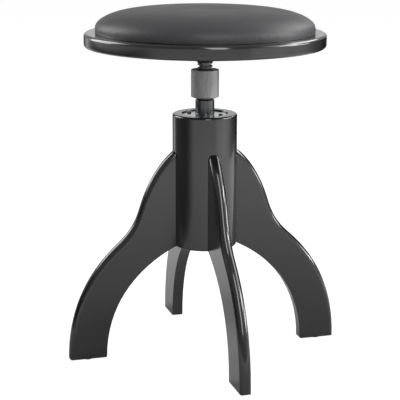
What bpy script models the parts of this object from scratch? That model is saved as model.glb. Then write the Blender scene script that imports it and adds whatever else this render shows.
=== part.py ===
"""A piano stool: a round padded seat on a screwed spindle, over a turned post with four shaped legs.

Lengths are in metres and +Z is up. The origin is on the floor, on the spindle's axis.
The seat is drawn close to its lowest setting, 22 turns below its highest.
"""
import math
from collections import namedtuple

import bmesh
import bpy
from mathutils import Matrix, Vector

MM = 0.001

# Clearances and cutters
GAP = 0.3 * MM              # air between two pieces that touch
PADDING_CLEARANCE = 0.6 * MM    # air between the foam and the cover pulled over it
OVERRUN = 2 * MM            # how far a cutter runs past the face that it opens
MERGE_DISTANCE = 0.001 * MM
SHARP_ANGLE = math.radians(32)

# Facets round a turned piece, by its size
BOARD_FACETS = 64
ROUND_FACETS = 40
SMALL_FACETS = 24
FASTENER_FACETS = 12

# Glides under the feet
GLIDE_RADIUS = 6.5 * MM
GLIDE_THICKNESS = 1.2 * MM
GLIDE_STEM_RADIUS = 2 * MM
GLIDE_STEM_LENGTH = 14 * MM

# Post
POST_RADIUS = 47.5 * MM
POST_LENGTH = 198 * MM
POST_BOTTOM = 164 * MM      # height above the floor
POST_EDGE = 1.5 * MM
POST_BORE_RADIUS = 17 * MM

# Legs
LEG_NAMES = ("right", "back", "left", "front")
FIRST_LEG_ANGLE = math.radians(16.5)
LEG_REACH = 207.5 * MM      # from the axis to the outside of a foot
LEG_THICKNESS = 17 * MM
LEG_TOP = 306 * MM          # height above the floor of the shoulder at the post
LEG_LET_IN = 6 * MM         # depth of the leg's seat in the post
LEG_OUTER_EDGE = 7.5 * MM   # rounding along the outside of the leg, nearly a half round
LEG_INNER_EDGE = 1 * MM     # rounding everywhere else
LEG_EDGE_STEPS = 3
FOOT_LENGTH = 54 * MM
FOOT_CORNER = 3 * MM
FOOT_CORNER_STEPS = 3

# The leg's outside from the foot up to the post, as Bezier points that share their ends:
# share of the way out from the post to the foot, then share of the leg's height
OUTSIDE_SHARES = (
    (1.0, 0.0), (1.0, 0.158), (0.919, 0.377),
    (0.532, 0.559), (0.389, 0.627), (0.352, 0.681),
    (0.316, 0.742), (0.246, 0.860), (0.132, 0.948),
    (0.0, 1.0),
)
# The arch from the post down to the foot, in the same way, within the arch's own run and height
ARCH_SHARES = ((0.0, 1.0), (0.440, 0.871), (1.0, 0.570), (1.0, 0.0))
OUTSIDE_STEPS = 7
ARCH_STEPS = 12

# Dowels that are glued into the legs and the post
DOWEL_RADIUS = 4 * MM
DOWEL_IN_POST = 18 * MM
DOWEL_IN_LEG = 26 * MM
DOWEL_HEIGHT_SHARES = (0.22, 0.68)      # of the leg's height along the post

# Threaded bush and its flange in the top of the post
FLANGE_RADIUS = 32.5 * MM
FLANGE_THICKNESS = 4 * MM
FLANGE_SUNK = 2 * MM        # how far the flange lies below the post's top
FLANGE_SLACK = 1.25 * MM    # between the flange and the wall of its recess
BOSS_RADIUS = 14 * MM
BOSS_HEIGHT = 20 * MM       # above the post's top
BUSH_SPIGOT_RADIUS = 13 * MM
BUSH_LENGTH = 57 * MM
BUSH_CHAMFER = 0.8 * MM

# Spindle: a single-start trapezoidal thread with plain ends
CREST_RADIUS = 11 * MM
THREAD_DEPTH = 2.5 * MM
PITCH = 5 * MM
CREST_SHARE = 0.34          # of the pitch that is flat crest
FLANK_SHARE = 0.16          # of the pitch that each flank takes
THREAD_FACETS = 12
RUNNING_GAP = 0.3 * MM      # between the crest and each bore that runs on it
TOP_JOURNAL_RADIUS = 8 * MM
LOW_JOURNAL_RADIUS = 7 * MM
SHOULDER_THICKNESS = 1.5 * MM   # plain ring under the hub
SPINDLE_TOP_CLEARANCE = 0.8 * MM    # between the spindle's top and the board

# Travel of the seat from rest
SEAT_RAISE = 110 * MM
SEAT_LOWER = 4.5 * MM

# Guide bush and what holds it on the spindle's lower end
GUIDE_LENGTH = 16 * MM
STOP_WASHER_RADIUS = 13 * MM
STOP_WASHER_THICKNESS = 2 * MM
END_SCREW_RADIUS = 4 * MM
END_SCREW_LENGTH = 20 * MM
END_SCREW_HEAD_RADIUS = 6.5 * MM
END_SCREW_HEAD_HEIGHT = 5.3 * MM
BORE_FLOOR_CLEARANCE = 1 * MM   # left under the end screw with the seat right down

# Lock collar on the spindle, and the washer let into its foot
COLLAR_RADIUS = 20.5 * MM
COLLAR_LENGTH = 42 * MM
COLLAR_TOP_CHAMFER = 0.8 * MM
COLLAR_CONE_HEIGHT = 2.2 * MM
COLLAR_CONE_RADIUS = 15 * MM
COLLAR_LIFT = 2.2 * MM      # of the collar above the boss at rest
LOCK_WASHER_RADIUS = 13.5 * MM
LOCK_WASHER_THICKNESS = 2.4 * MM
LOCK_WASHER_PROUD = 0.3 * MM

# Seat flange: a plate under the board with a hub on the spindle
HUB_RADIUS = 16 * MM
HUB_HEIGHT = 23 * MM        # from the board's underside to the hub's foot
HUB_CLEARANCE = 10.8 * MM   # bare spindle between the collar and the hub
HUB_CHAMFER_RADIUS = 12 * MM
HUB_CHAMFER_HEIGHT = 3.4 * MM
SEAT_PLATE_RADIUS = 45 * MM
SEAT_PLATE_THICKNESS = 4 * MM
HUB_PIN_RADIUS = 2.5 * MM
HUB_PIN_SHARE = 0.5         # of the hub's height, where the pin crosses it

# Seat board
BOARD_RADIUS = 175 * MM
BOARD_THICKNESS = 20 * MM
BOARD_EDGE = 4.5 * MM
BOARD_EDGE_STEPS = 3

# Pad: plywood base, foam, and a cover turned under the base
PAD_RADIUS = 160.5 * MM
PAD_HEIGHT = 35.5 * MM      # crown above the board
PAD_WIDEST = 9 * MM         # height of the widest part above the board
PAD_DRAW_IN = 3 * MM        # how much narrower the pad is at its foot
PAD_CROWN_POWERS = (5.0, 1.44)      # of radius and height in the crown's superellipse
PAD_CROWN_STEPS = 9
PAD_SIDE_STEPS = 2
PAD_BASE_THICKNESS = 8 * MM
COVER_THICKNESS = 1 * MM
HEM_WIDTH = 18 * MM

Screw = namedtuple("Screw", "head_radius head_height shank_radius length countersunk")
FLANGE_SCREW = Screw(3.2 * MM, 2.4 * MM, 1.75 * MM, 28 * MM, False)
FLANGE_SCREW_CIRCLE = 25.5 * MM     # radius
FLANGE_SCREW_ANGLE = math.radians(65)
SEAT_SCREW = Screw(4.5 * MM, 2.4 * MM, 2.2 * MM, 18 * MM, True)
SEAT_SCREW_CIRCLE = 33 * MM
PAD_SCREW = Screw(5 * MM, 2.8 * MM, 2 * MM, 27 * MM, False)
PAD_SCREW_CIRCLE = 95 * MM
SCREWS_PER_CIRCLE = 4
SCREW_SUNK = 0.2 * MM       # how far a countersunk head lies below its face

# Heights that follow from the sizes above
FOOT_BOTTOM = GLIDE_THICKNESS + GAP
POST_TOP = POST_BOTTOM + POST_LENGTH
FLANGE_TOP = POST_TOP - FLANGE_SUNK
BOSS_TOP = POST_TOP + BOSS_HEIGHT
BUSH_BOTTOM = BOSS_TOP - BUSH_LENGTH
COLLAR_BOTTOM = BOSS_TOP + COLLAR_LIFT
HUB_BOTTOM = COLLAR_BOTTOM + COLLAR_LENGTH + HUB_CLEARANCE
SEAT_UNDERSIDE = HUB_BOTTOM + HUB_HEIGHT
GUIDE_TOP = BUSH_BOTTOM - SEAT_RAISE - GAP
THREAD_BOTTOM = GUIDE_TOP + GAP
GUIDE_BOTTOM = GUIDE_TOP - GUIDE_LENGTH
STOP_WASHER_BOTTOM = GUIDE_BOTTOM - GAP - STOP_WASHER_THICKNESS
END_SCREW_BOTTOM = STOP_WASHER_BOTTOM - GAP - END_SCREW_HEAD_HEIGHT
BORE_FLOOR = END_SCREW_BOTTOM - SEAT_LOWER - BORE_FLOOR_CLEARANCE
HEM_BOTTOM = GAP                                # the pad's heights are above the board
PAD_BASE_BOTTOM = HEM_BOTTOM + COVER_THICKNESS + GAP
FOAM_BOTTOM = PAD_BASE_BOTTOM + PAD_BASE_THICKNESS + GAP

# Radii that follow from the sizes above
ROOT_RADIUS = CREST_RADIUS - THREAD_DEPTH
RUNNING_RADIUS = CREST_RADIUS + RUNNING_GAP
LEG_HEEL = POST_RADIUS - LEG_LET_IN             # the leg's edge inside the post
PAD_FOOT_RADIUS = PAD_RADIUS - PAD_DRAW_IN
PAD_BASE_RADIUS = PAD_FOOT_RADIUS - COVER_THICKNESS - GAP

# Materials: colour, roughness, metallic
MATERIALS = {
    "black_lacquered_wood": ((0.030, 0.030, 0.031), 0.28, 0.0),
    "raw_plywood": ((0.55, 0.40, 0.25), 0.7, 0.0),
    "beech_dowel": ((0.60, 0.43, 0.27), 0.7, 0.0),
    "black_leatherette": ((0.045, 0.045, 0.047), 0.42, 0.0),
    "seat_foam": ((0.75, 0.72, 0.60), 0.95, 0.0),
    "black_oxide_steel": ((0.055, 0.055, 0.057), 0.35, 1.0),
    "zinc_plated_steel": ((0.62, 0.62, 0.63), 0.3, 1.0),
    "satin_grey_steel": ((0.24, 0.24, 0.25), 0.4, 1.0),
    "black_nylon": ((0.03, 0.03, 0.03), 0.5, 0.0),
}


def clear_scene():
    for item in list(bpy.data.objects):
        bpy.data.objects.remove(item, do_unlink=True)


def material(name):
    """The named material, made the first time that it is asked for."""
    if name in bpy.data.materials:
        return bpy.data.materials[name]
    colour, roughness, metallic = MATERIALS[name]
    made = bpy.data.materials.new(name)
    made.use_nodes = True
    shader = made.node_tree.nodes["Principled BSDF"]
    shader.inputs["Base Color"].default_value = (*colour, 1.0)
    shader.inputs["Roughness"].default_value = roughness
    shader.inputs["Metallic"].default_value = metallic
    made.diffuse_color = (*colour, 1.0)
    return made


def make_empty(name, height, parent=None):
    """An empty on the spindle's axis, for the pieces that move together."""
    empty = bpy.data.objects.new(name, None)
    empty.location = (0, 0, height)
    empty.parent = parent
    bpy.context.scene.collection.objects.link(empty)
    return empty


def upright(height, turn=0.0):
    """A place at a height on the axis, turned about it."""
    return Matrix.Translation((0, 0, height)) @ Matrix.Rotation(turn, 4, "Z")


def make_object(name, shape, finish, parent, place=Matrix()):
    """Turn a bmesh into an object at a place in its parent's frame."""
    bmesh.ops.remove_doubles(shape, verts=shape.verts, dist=MERGE_DISTANCE)
    bmesh.ops.recalc_face_normals(shape, faces=shape.faces)
    mesh = bpy.data.meshes.new(name)
    shape.to_mesh(mesh)
    shape.free()
    mesh.shade_smooth()
    mesh.set_sharp_from_angle(angle=SHARP_ANGLE)
    if finish:
        mesh.materials.append(material(finish))
    made = bpy.data.objects.new(name, mesh)
    made.location = place.to_translation()
    made.rotation_euler = place.to_euler()
    made.parent = parent
    bpy.context.scene.collection.objects.link(made)
    return made


def make_cutter(name, shape, parent, place=Matrix()):
    cutter = make_object(name, shape, None, parent, place)
    cutter.hide_render = True
    cutter.display_type = "WIRE"
    return cutter


def cut(target, cutter):
    """Take a cutter's shape out of a piece, with a modifier that stays live."""
    hole = target.modifiers.new(cutter.name, "BOOLEAN")
    hole.operation = "DIFFERENCE"
    hole.solver = "EXACT"
    hole.object = cutter


def add_turned(shape, profile, facets, place=Matrix(), closed=True):
    """Turn (radius, height) points about Z, from axis to axis or, if closed, round to a ring."""
    rings = []
    for radius, height in profile:
        if radius == 0:
            rings.append([shape.verts.new(place @ Vector((0, 0, height)))])
            continue
        ring = []
        for index in range(facets):
            angle = math.tau * index / facets
            point = Vector((radius * math.cos(angle), radius * math.sin(angle), height))
            ring.append(shape.verts.new(place @ point))
        rings.append(ring)
    pairs = list(zip(rings, rings[1:]))
    if closed and len(rings[0]) > 1:
        pairs.append((rings[-1], rings[0]))
    for first, second in pairs:
        add_band(shape, first, second, facets)


def add_band(shape, first, second, facets):
    """Faces between two rings, either of which may be a single point."""
    for index in range(facets):
        following = (index + 1) % facets
        corners = [first[index % len(first)], first[following % len(first)],
                   second[following % len(second)], second[index % len(second)]]
        unique = []
        for corner in corners:
            if corner not in unique:
                unique.append(corner)
        if len(unique) > 2:
            shape.faces.new(unique)


def turned(profile, facets, places=(Matrix(),)):
    """A bmesh with one turned solid at each place."""
    shape = bmesh.new()
    for place in places:
        add_turned(shape, profile, facets, place)
    return shape


def circle_places(count, radius, height=0.0, start=0.0, flipped=False):
    """Places evenly round the axis, upside down if flipped."""
    places = []
    for index in range(count):
        angle = start + math.tau * index / count
        place = Matrix.Rotation(angle, 4, "Z") @ Matrix.Translation((radius, 0, height))
        if flipped:
            place = place @ Matrix.Rotation(math.pi, 4, "X")
        places.append(place)
    return places


def cylinder_profile(radius, bottom, top):
    return [(0, bottom), (radius, bottom), (radius, top), (0, top)]


def ring_profile(inner, outer, bottom, top):
    return [(inner, bottom), (outer, bottom), (outer, top), (inner, top)]


def arc_points(centre, radius, start, end, steps):
    """Points on an arc, both ends among them."""
    points = []
    for index in range(steps + 1):
        angle = start + (end - start) * index / steps
        points.append((centre[0] + radius * math.cos(angle), centre[1] + radius * math.sin(angle)))
    return points


def screw_profile(screw, grow=0.0):
    """A wood screw with its seat at height 0 and its shank down; a grown one is the hole for it."""
    tip = -screw.length - grow
    if screw.countersunk:
        top = OVERRUN if grow else -SCREW_SUNK
        neck = -SCREW_SUNK - screw.head_height
        return [(0, tip), (screw.shank_radius + grow, tip), (screw.shank_radius + grow, neck),
                (screw.head_radius + grow, -SCREW_SUNK), (screw.head_radius + grow, top), (0, top)]
    if grow:
        return cylinder_profile(screw.shank_radius + grow, tip, OVERRUN)
    return [(0, tip), (screw.shank_radius, tip), (screw.shank_radius, GAP), (screw.head_radius, GAP),
            (screw.head_radius, screw.head_height / 2), (screw.head_radius / 2, screw.head_height),
            (0, screw.head_height)]


def make_screws(name, screw, places, finish, parent, drilled):
    """A screw at each place, and holes for them in the pieces that are drilled."""
    holes = turned(screw_profile(screw, GAP), FASTENER_FACETS, places)
    cutter = make_cutter(f"cut_{name}", holes, parent)
    for piece in drilled:
        cut(piece, cutter)
    for number, place in enumerate(places, start=1):
        shape = turned(screw_profile(screw), FASTENER_FACETS)
        make_object(f"{name}_{number}", shape, finish, parent, place)


def bezier_points(controls, steps):
    """Points along cubic Bezier curves that share their ends."""
    points = [controls[0]]
    for first in range(0, len(controls) - 1, 3):
        a, b, c, d = (Vector(point) for point in controls[first:first + 4])
        for index in range(1, steps + 1):
            t = index / steps
            s = 1 - t
            points.append(tuple(s ** 3 * a + 3 * s * s * t * b + 3 * s * t * t * c + t ** 3 * d))
    return points


def leg_outline():
    """The leg seen from its side, anticlockwise, as (way out, height above the foot, edge rounding)."""
    run = LEG_REACH - POST_RADIUS
    arch_run = run - FOOT_LENGTH
    height = LEG_TOP - FOOT_BOTTOM - FOOT_CORNER
    arch_height = POST_BOTTOM - FOOT_BOTTOM - FOOT_CORNER
    outline = [(LEG_HEEL, FOOT_CORNER + arch_height, LEG_INNER_EDGE)]
    for out, up in bezier_points(ARCH_SHARES, ARCH_STEPS):
        outline.append((POST_RADIUS + out * arch_run, FOOT_CORNER + up * arch_height, LEG_INNER_EDGE))
    heel = (POST_RADIUS + arch_run + FOOT_CORNER, FOOT_CORNER)
    toe = (LEG_REACH - FOOT_CORNER, FOOT_CORNER)
    quarter = math.pi / 2
    corners = arc_points(heel, FOOT_CORNER, 2 * quarter, 3 * quarter, FOOT_CORNER_STEPS)[1:]
    corners += arc_points(toe, FOOT_CORNER, 3 * quarter, 4 * quarter, FOOT_CORNER_STEPS)[:-1]
    for out, up in corners:
        outline.append((out, up, LEG_INNER_EDGE))
    for out, up in bezier_points(OUTSIDE_SHARES, OUTSIDE_STEPS):
        outline.append((POST_RADIUS + out * run, FOOT_CORNER + up * height, LEG_OUTER_EDGE))
    outline.append((LEG_HEEL, FOOT_CORNER + height, LEG_INNER_EDGE))
    return outline


def outward_mitres(outline):
    """For each corner, the step that moves both of its edges out by one unit."""
    mitres = []
    for index, (x, z, _) in enumerate(outline):
        before = outline[index - 1]
        after = outline[(index + 1) % len(outline)]
        first = Vector((z - before[1], before[0] - x)).normalized()
        second = Vector((after[1] - z, x - after[0])).normalized()
        mitres.append((first + second) / (1 + first.dot(second)))
    return mitres


def leg_shape(grow=0.0):
    """The leg in its own frame: X out from the axis, Z up from the foot, thickness along Y."""
    outline = leg_outline()
    mitres = outward_mitres(outline)
    half = LEG_THICKNESS / 2 + grow
    steps = range(LEG_EDGE_STEPS + 1)
    shape = bmesh.new()
    layers = []
    for side in (-1, 1):
        for step in reversed(steps) if side < 0 else steps:
            angle = math.pi / 2 * step / LEG_EDGE_STEPS
            layer = []
            for (x, z, edge), mitre in zip(outline, mitres):
                shift = mitre * (grow - edge * (1 - math.cos(angle)))
                depth = side * (half - edge * (1 - math.sin(angle)))
                layer.append(shape.verts.new((x + shift.x, depth, z + shift.y)))
            layers.append(layer)
    for first, second in zip(layers, layers[1:]):
        add_band(shape, first, second, len(outline))
    shape.faces.new(layers[0])
    shape.faces.new(layers[-1])
    return shape


def dowel_profile(grow=0.0):
    return cylinder_profile(DOWEL_RADIUS + grow, -DOWEL_IN_POST - grow, DOWEL_IN_LEG + grow)


def dowel_places(leg_place):
    """The dowels of one leg, lying from the post out into the leg."""
    places = []
    for share in DOWEL_HEIGHT_SHARES:
        height = POST_BOTTOM - FOOT_BOTTOM + share * (LEG_TOP - POST_BOTTOM)
        lying = Matrix.Translation((LEG_HEEL, 0, height)) @ Matrix.Rotation(math.pi / 2, 4, "Y")
        places.append(leg_place @ lying)
    return places


def glide_profile(grow=0.0):
    """A moulded disc with a stem up into the foot; grown, it is the hole for the stem."""
    stem_top = GLIDE_THICKNESS + GLIDE_STEM_LENGTH + grow
    stem = GLIDE_STEM_RADIUS + grow
    if grow:
        return cylinder_profile(stem, GLIDE_THICKNESS - OVERRUN, stem_top)
    return [(0, 0), (GLIDE_RADIUS, 0), (GLIDE_RADIUS, GLIDE_THICKNESS), (stem, GLIDE_THICKNESS),
            (stem, stem_top), (0, stem_top)]


def make_leg(name, turn, base, post):
    """A leg let into the post, with its dowels and its glide."""
    place = upright(FOOT_BOTTOM, turn)
    leg = make_object(f"leg_{name}", leg_shape(), "black_lacquered_wood", base, place)
    cut(post, make_cutter(f"cut_leg_{name}", leg_shape(GAP), base, place))
    dowels = dowel_places(place)
    dowel_holes = make_cutter(f"cut_dowels_{name}", turned(dowel_profile(GAP), FASTENER_FACETS, dowels), base)
    cut(post, dowel_holes)
    cut(leg, dowel_holes)
    for number, dowel in enumerate(dowels, start=1):
        shape = turned(dowel_profile(), FASTENER_FACETS)
        make_object(f"dowel_{name}_{number}", shape, "beech_dowel", base, dowel)
    foot = upright(0.0, turn) @ Matrix.Translation((LEG_REACH - FOOT_LENGTH / 2, 0, 0))
    stem_hole = turned(glide_profile(GAP), FASTENER_FACETS)
    cut(leg, make_cutter(f"cut_glide_{name}", stem_hole, base, foot))
    make_object(f"glide_{name}", turned(glide_profile(), FASTENER_FACETS), "black_nylon", base, foot)


def make_post(base):
    """The post, with the recess for the flange and the blind bore for the spindle."""
    recess = FLANGE_RADIUS + FLANGE_SLACK
    recess_floor = FLANGE_TOP - FLANGE_THICKNESS - GAP - POST_BOTTOM
    bore_floor = BORE_FLOOR - POST_BOTTOM
    profile = [
        (0, 0),
        (POST_RADIUS - POST_EDGE, 0),
        (POST_RADIUS, POST_EDGE),
        (POST_RADIUS, POST_LENGTH - POST_EDGE),
        (POST_RADIUS - POST_EDGE, POST_LENGTH),
        (recess, POST_LENGTH),
        (recess, recess_floor),
        (POST_BORE_RADIUS, recess_floor),
        (POST_BORE_RADIUS, bore_floor),
        (0, bore_floor),
    ]
    return make_object("post", turned(profile, ROUND_FACETS), "black_lacquered_wood", base,
                       upright(POST_BOTTOM))


def make_nut(base, post):
    """The flange let into the post, its screws, and the threaded bush welded through it."""
    ring = ring_profile(BUSH_SPIGOT_RADIUS + GAP, FLANGE_RADIUS, -FLANGE_THICKNESS, 0)
    flange = make_object("nut_flange", turned(ring, ROUND_FACETS), "zinc_plated_steel", base,
                         upright(FLANGE_TOP))
    places = circle_places(SCREWS_PER_CIRCLE, FLANGE_SCREW_CIRCLE, FLANGE_TOP, FLANGE_SCREW_ANGLE)
    make_screws("flange_screw", FLANGE_SCREW, places, "black_oxide_steel", base, (flange, post))
    shoulder = FLANGE_TOP + GAP - BUSH_BOTTOM
    profile = [
        (RUNNING_RADIUS, BUSH_CHAMFER),
        (RUNNING_RADIUS + BUSH_CHAMFER, 0),
        (BUSH_SPIGOT_RADIUS, 0),
        (BUSH_SPIGOT_RADIUS, shoulder),
        (BOSS_RADIUS, shoulder),
        (BOSS_RADIUS, BUSH_LENGTH - BUSH_CHAMFER),
        (BOSS_RADIUS - BUSH_CHAMFER, BUSH_LENGTH),
        (RUNNING_RADIUS + BUSH_CHAMFER, BUSH_LENGTH),
        (RUNNING_RADIUS, BUSH_LENGTH - BUSH_CHAMFER),
    ]
    make_object("nut_bush", turned(profile, SMALL_FACETS), "black_oxide_steel", base,
                upright(BUSH_BOTTOM))


def make_lock(base):
    """The collar that is screwed down on the boss to hold the height, and the washer in its foot."""
    washer_empty = make_empty("lock_travel", COLLAR_BOTTOM, base)
    collar_empty = make_empty("lock_turn", 0.0, washer_empty)
    washer = ring_profile(RUNNING_RADIUS, LOCK_WASHER_RADIUS, -LOCK_WASHER_PROUD,
                          LOCK_WASHER_THICKNESS - LOCK_WASHER_PROUD)
    make_object("lock_washer", turned(washer, SMALL_FACETS), "black_nylon", washer_empty)
    pocket_top = LOCK_WASHER_THICKNESS - LOCK_WASHER_PROUD + GAP
    pocket = LOCK_WASHER_RADIUS + GAP
    profile = [
        (RUNNING_RADIUS, pocket_top),
        (pocket, pocket_top),
        (pocket, 0),
        (COLLAR_CONE_RADIUS, 0),
        (COLLAR_RADIUS, COLLAR_CONE_HEIGHT),
        (COLLAR_RADIUS, COLLAR_LENGTH - COLLAR_TOP_CHAMFER),
        (COLLAR_RADIUS - COLLAR_TOP_CHAMFER, COLLAR_LENGTH),
        (RUNNING_RADIUS + COLLAR_TOP_CHAMFER, COLLAR_LENGTH),
        (RUNNING_RADIUS, COLLAR_LENGTH - COLLAR_TOP_CHAMFER),
    ]
    make_object("lock_collar", turned(profile, ROUND_FACETS), "satin_grey_steel", collar_empty)


def thread_corners():
    """One pitch of the thread as (share of the pitch, radius): a flat crest, a flank and a flat root."""
    return ((0.0, CREST_RADIUS), (CREST_SHARE, CREST_RADIUS),
            (CREST_SHARE + FLANK_SHARE, ROOT_RADIUS), (1.0 - FLANK_SHARE, ROOT_RADIUS))


def add_thread(shape, length):
    """A helical skin from height 0 to length that runs out into the root at both ends."""
    corners = thread_corners()
    rows_per_turn = len(corners)
    turns = math.ceil(length / PITCH) + 2
    rows = []
    for row in range(-2 * rows_per_turn, turns * rows_per_turn):
        turn, phase = divmod(row, rows_per_turn)
        share, radius = corners[phase]
        ring = []
        for index in range(THREAD_FACETS):
            facet_share = index / THREAD_FACETS
            height = (turn + share + facet_share) * PITCH
            reach = radius if 0 < height < length else ROOT_RADIUS
            angle = math.tau * facet_share
            height = min(max(height, 0.0), length)
            ring.append(shape.verts.new((reach * math.cos(angle), reach * math.sin(angle), height)))
        rows.append(ring)
    for row in range(len(rows) - rows_per_turn - 1):
        # the helix climbs a whole turn where its last facet meets its first
        lower = rows[row] + [rows[row + rows_per_turn][0]]
        upper = rows[row + 1] + [rows[row + rows_per_turn + 1][0]]
        for index in range(THREAD_FACETS):
            shape.faces.new((lower[index], lower[index + 1], upper[index + 1], upper[index]))


def make_spindle(seat):
    """The spindle, its height 0 at the thread's foot: a drilled journal, the thread, a shoulder, a journal."""
    foot = THREAD_BOTTOM - SEAT_UNDERSIDE
    length = HUB_BOTTOM - GAP - SHOULDER_THICKNESS - THREAD_BOTTOM
    low_end = STOP_WASHER_BOTTOM + STOP_WASHER_THICKNESS + GAP - THREAD_BOTTOM
    drill = END_SCREW_RADIUS + GAP
    drill_top = low_end + END_SCREW_LENGTH + GAP
    shoulder = length + SHOULDER_THICKNESS
    top = SEAT_UNDERSIDE - SPINDLE_TOP_CLEARANCE - THREAD_BOTTOM
    shape = bmesh.new()
    add_thread(shape, length)
    add_turned(shape, [(ROOT_RADIUS, 0), (LOW_JOURNAL_RADIUS, 0), (LOW_JOURNAL_RADIUS, low_end),
                       (drill, low_end), (drill, drill_top), (0, drill_top)], THREAD_FACETS, closed=False)
    add_turned(shape, [(ROOT_RADIUS, length), (CREST_RADIUS, length), (CREST_RADIUS, shoulder),
                       (TOP_JOURNAL_RADIUS, shoulder), (TOP_JOURNAL_RADIUS, top), (0, top)],
               THREAD_FACETS, closed=False)
    return make_object("spindle", shape, "black_oxide_steel", seat, upright(foot))


def make_spindle_end(guide, seat):
    """The guide bush that slides in the post's bore, and the washer and screw that keep it on."""
    bush = ring_profile(LOW_JOURNAL_RADIUS + GAP, POST_BORE_RADIUS - GAP, 0, GUIDE_LENGTH)
    make_object("guide_bush", turned(bush, ROUND_FACETS), "black_nylon", guide)
    washer = ring_profile(END_SCREW_RADIUS + GAP, STOP_WASHER_RADIUS, 0, STOP_WASHER_THICKNESS)
    make_object("stop_washer", turned(washer, SMALL_FACETS), "zinc_plated_steel", seat,
                upright(STOP_WASHER_BOTTOM - SEAT_UNDERSIDE))
    shank_top = END_SCREW_HEAD_HEIGHT + GAP + STOP_WASHER_THICKNESS + GAP + END_SCREW_LENGTH
    screw = [(0, 0), (END_SCREW_HEAD_RADIUS, 0), (END_SCREW_HEAD_RADIUS, END_SCREW_HEAD_HEIGHT),
             (END_SCREW_RADIUS, END_SCREW_HEAD_HEIGHT), (END_SCREW_RADIUS, shank_top), (0, shank_top)]
    make_object("end_screw", turned(screw, FASTENER_FACETS), "zinc_plated_steel", seat,
                upright(END_SCREW_BOTTOM - SEAT_UNDERSIDE))


def make_hub(seat, spindle, board):
    """The plate and hub that carry the board, their screws, and the pin through hub and spindle."""
    bore = TOP_JOURNAL_RADIUS + GAP
    plate_bottom = -GAP - SEAT_PLATE_THICKNESS
    profile = [
        (bore, -HUB_HEIGHT),
        (HUB_CHAMFER_RADIUS, -HUB_HEIGHT),
        (HUB_RADIUS, -HUB_HEIGHT + HUB_CHAMFER_HEIGHT),
        (HUB_RADIUS, plate_bottom),
        (SEAT_PLATE_RADIUS, plate_bottom),
        (SEAT_PLATE_RADIUS, -GAP),
        (bore, -GAP),
    ]
    flange = make_object("seat_flange", turned(profile, ROUND_FACETS), "black_oxide_steel", seat)
    places = circle_places(SCREWS_PER_CIRCLE, SEAT_SCREW_CIRCLE, plate_bottom, flipped=True)
    make_screws("seat_flange_screw", SEAT_SCREW, places, "black_oxide_steel", seat, (flange, board))
    lying = upright(-HUB_HEIGHT * HUB_PIN_SHARE) @ Matrix.Rotation(math.pi / 2, 4, "Y")
    pin = turned(cylinder_profile(HUB_PIN_RADIUS, GAP - HUB_RADIUS, HUB_RADIUS - GAP), FASTENER_FACETS)
    make_object("hub_pin", pin, "zinc_plated_steel", seat, lying)
    reach = HUB_RADIUS + OVERRUN
    hole = turned(cylinder_profile(HUB_PIN_RADIUS + GAP, -reach, reach), FASTENER_FACETS)
    pin_cutter = make_cutter("cut_hub_pin", hole, seat, lying)
    cut(flange, pin_cutter)
    cut(spindle, pin_cutter)


def make_board(seat):
    """The seat board, rounded all round its rim."""
    low = (BOARD_RADIUS - BOARD_EDGE, BOARD_EDGE)
    high = (BOARD_RADIUS - BOARD_EDGE, BOARD_THICKNESS - BOARD_EDGE)
    quarter = math.pi / 2
    profile = [(0, 0)]
    profile += arc_points(low, BOARD_EDGE, -quarter, 0, BOARD_EDGE_STEPS)
    profile += arc_points(high, BOARD_EDGE, 0, quarter, BOARD_EDGE_STEPS)
    profile.append((0, BOARD_THICKNESS))
    return make_object("seat_board", turned(profile, BOARD_FACETS), "black_lacquered_wood", seat)


def crown_points(inset, start=0.0):
    """The pad's upper outline from a height up to the crown, drawn in by an inset."""
    radius_power, height_power = PAD_CROWN_POWERS
    radius = PAD_RADIUS - inset
    rise = PAD_HEIGHT - inset - PAD_WIDEST
    points = []
    if start > PAD_WIDEST:
        share = (start - PAD_WIDEST) / rise
        points.append((radius * (1 - share ** height_power) ** (1 / radius_power), start))
    for index in range(PAD_CROWN_STEPS):
        angle = math.pi / 2 * index / PAD_CROWN_STEPS
        height = PAD_WIDEST + rise * math.sin(angle) ** (2 / height_power)
        if height > start:
            points.append((radius * math.cos(angle) ** (2 / radius_power), height))
    points.append((0, PAD_WIDEST + rise))
    return points


def side_points(inset, start):
    """The pad's drawn-in side from its foot up to its widest part, which the crown's outline starts with."""
    points = []
    for index in range(PAD_SIDE_STEPS):
        angle = math.pi / 2 * index / PAD_SIDE_STEPS
        radius = PAD_FOOT_RADIUS - inset + PAD_DRAW_IN * math.sin(angle)
        points.append((radius, PAD_WIDEST - (PAD_WIDEST - start) * math.cos(angle)))
    return points


def make_pad(seat, board):
    """The pad on the board: cover, foam, plywood base, and the screws from below."""
    on_board = upright(BOARD_THICKNESS)
    hem_top = HEM_BOTTOM + COVER_THICKNESS
    hem_inner = PAD_FOOT_RADIUS - HEM_WIDTH
    outside = side_points(0.0, HEM_BOTTOM) + crown_points(0.0)
    inside = side_points(COVER_THICKNESS, hem_top) + crown_points(COVER_THICKNESS)
    cover = outside[::-1] + [(hem_inner, HEM_BOTTOM), (hem_inner, hem_top)] + inside
    make_object("seat_cover", turned(cover, ROUND_FACETS), "black_leatherette", seat, on_board)
    foam = [(0, FOAM_BOTTOM)] + crown_points(COVER_THICKNESS + PADDING_CLEARANCE, FOAM_BOTTOM)
    make_object("seat_foam", turned(foam, ROUND_FACETS), "seat_foam", seat, on_board)
    plate = cylinder_profile(PAD_BASE_RADIUS, PAD_BASE_BOTTOM, PAD_BASE_BOTTOM + PAD_BASE_THICKNESS)
    base = make_object("pad_base", turned(plate, ROUND_FACETS), "raw_plywood", seat, on_board)
    places = circle_places(SCREWS_PER_CIRCLE, PAD_SCREW_CIRCLE, flipped=True)
    make_screws("pad_screw", PAD_SCREW, places, "zinc_plated_steel", seat, (board, base))


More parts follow.
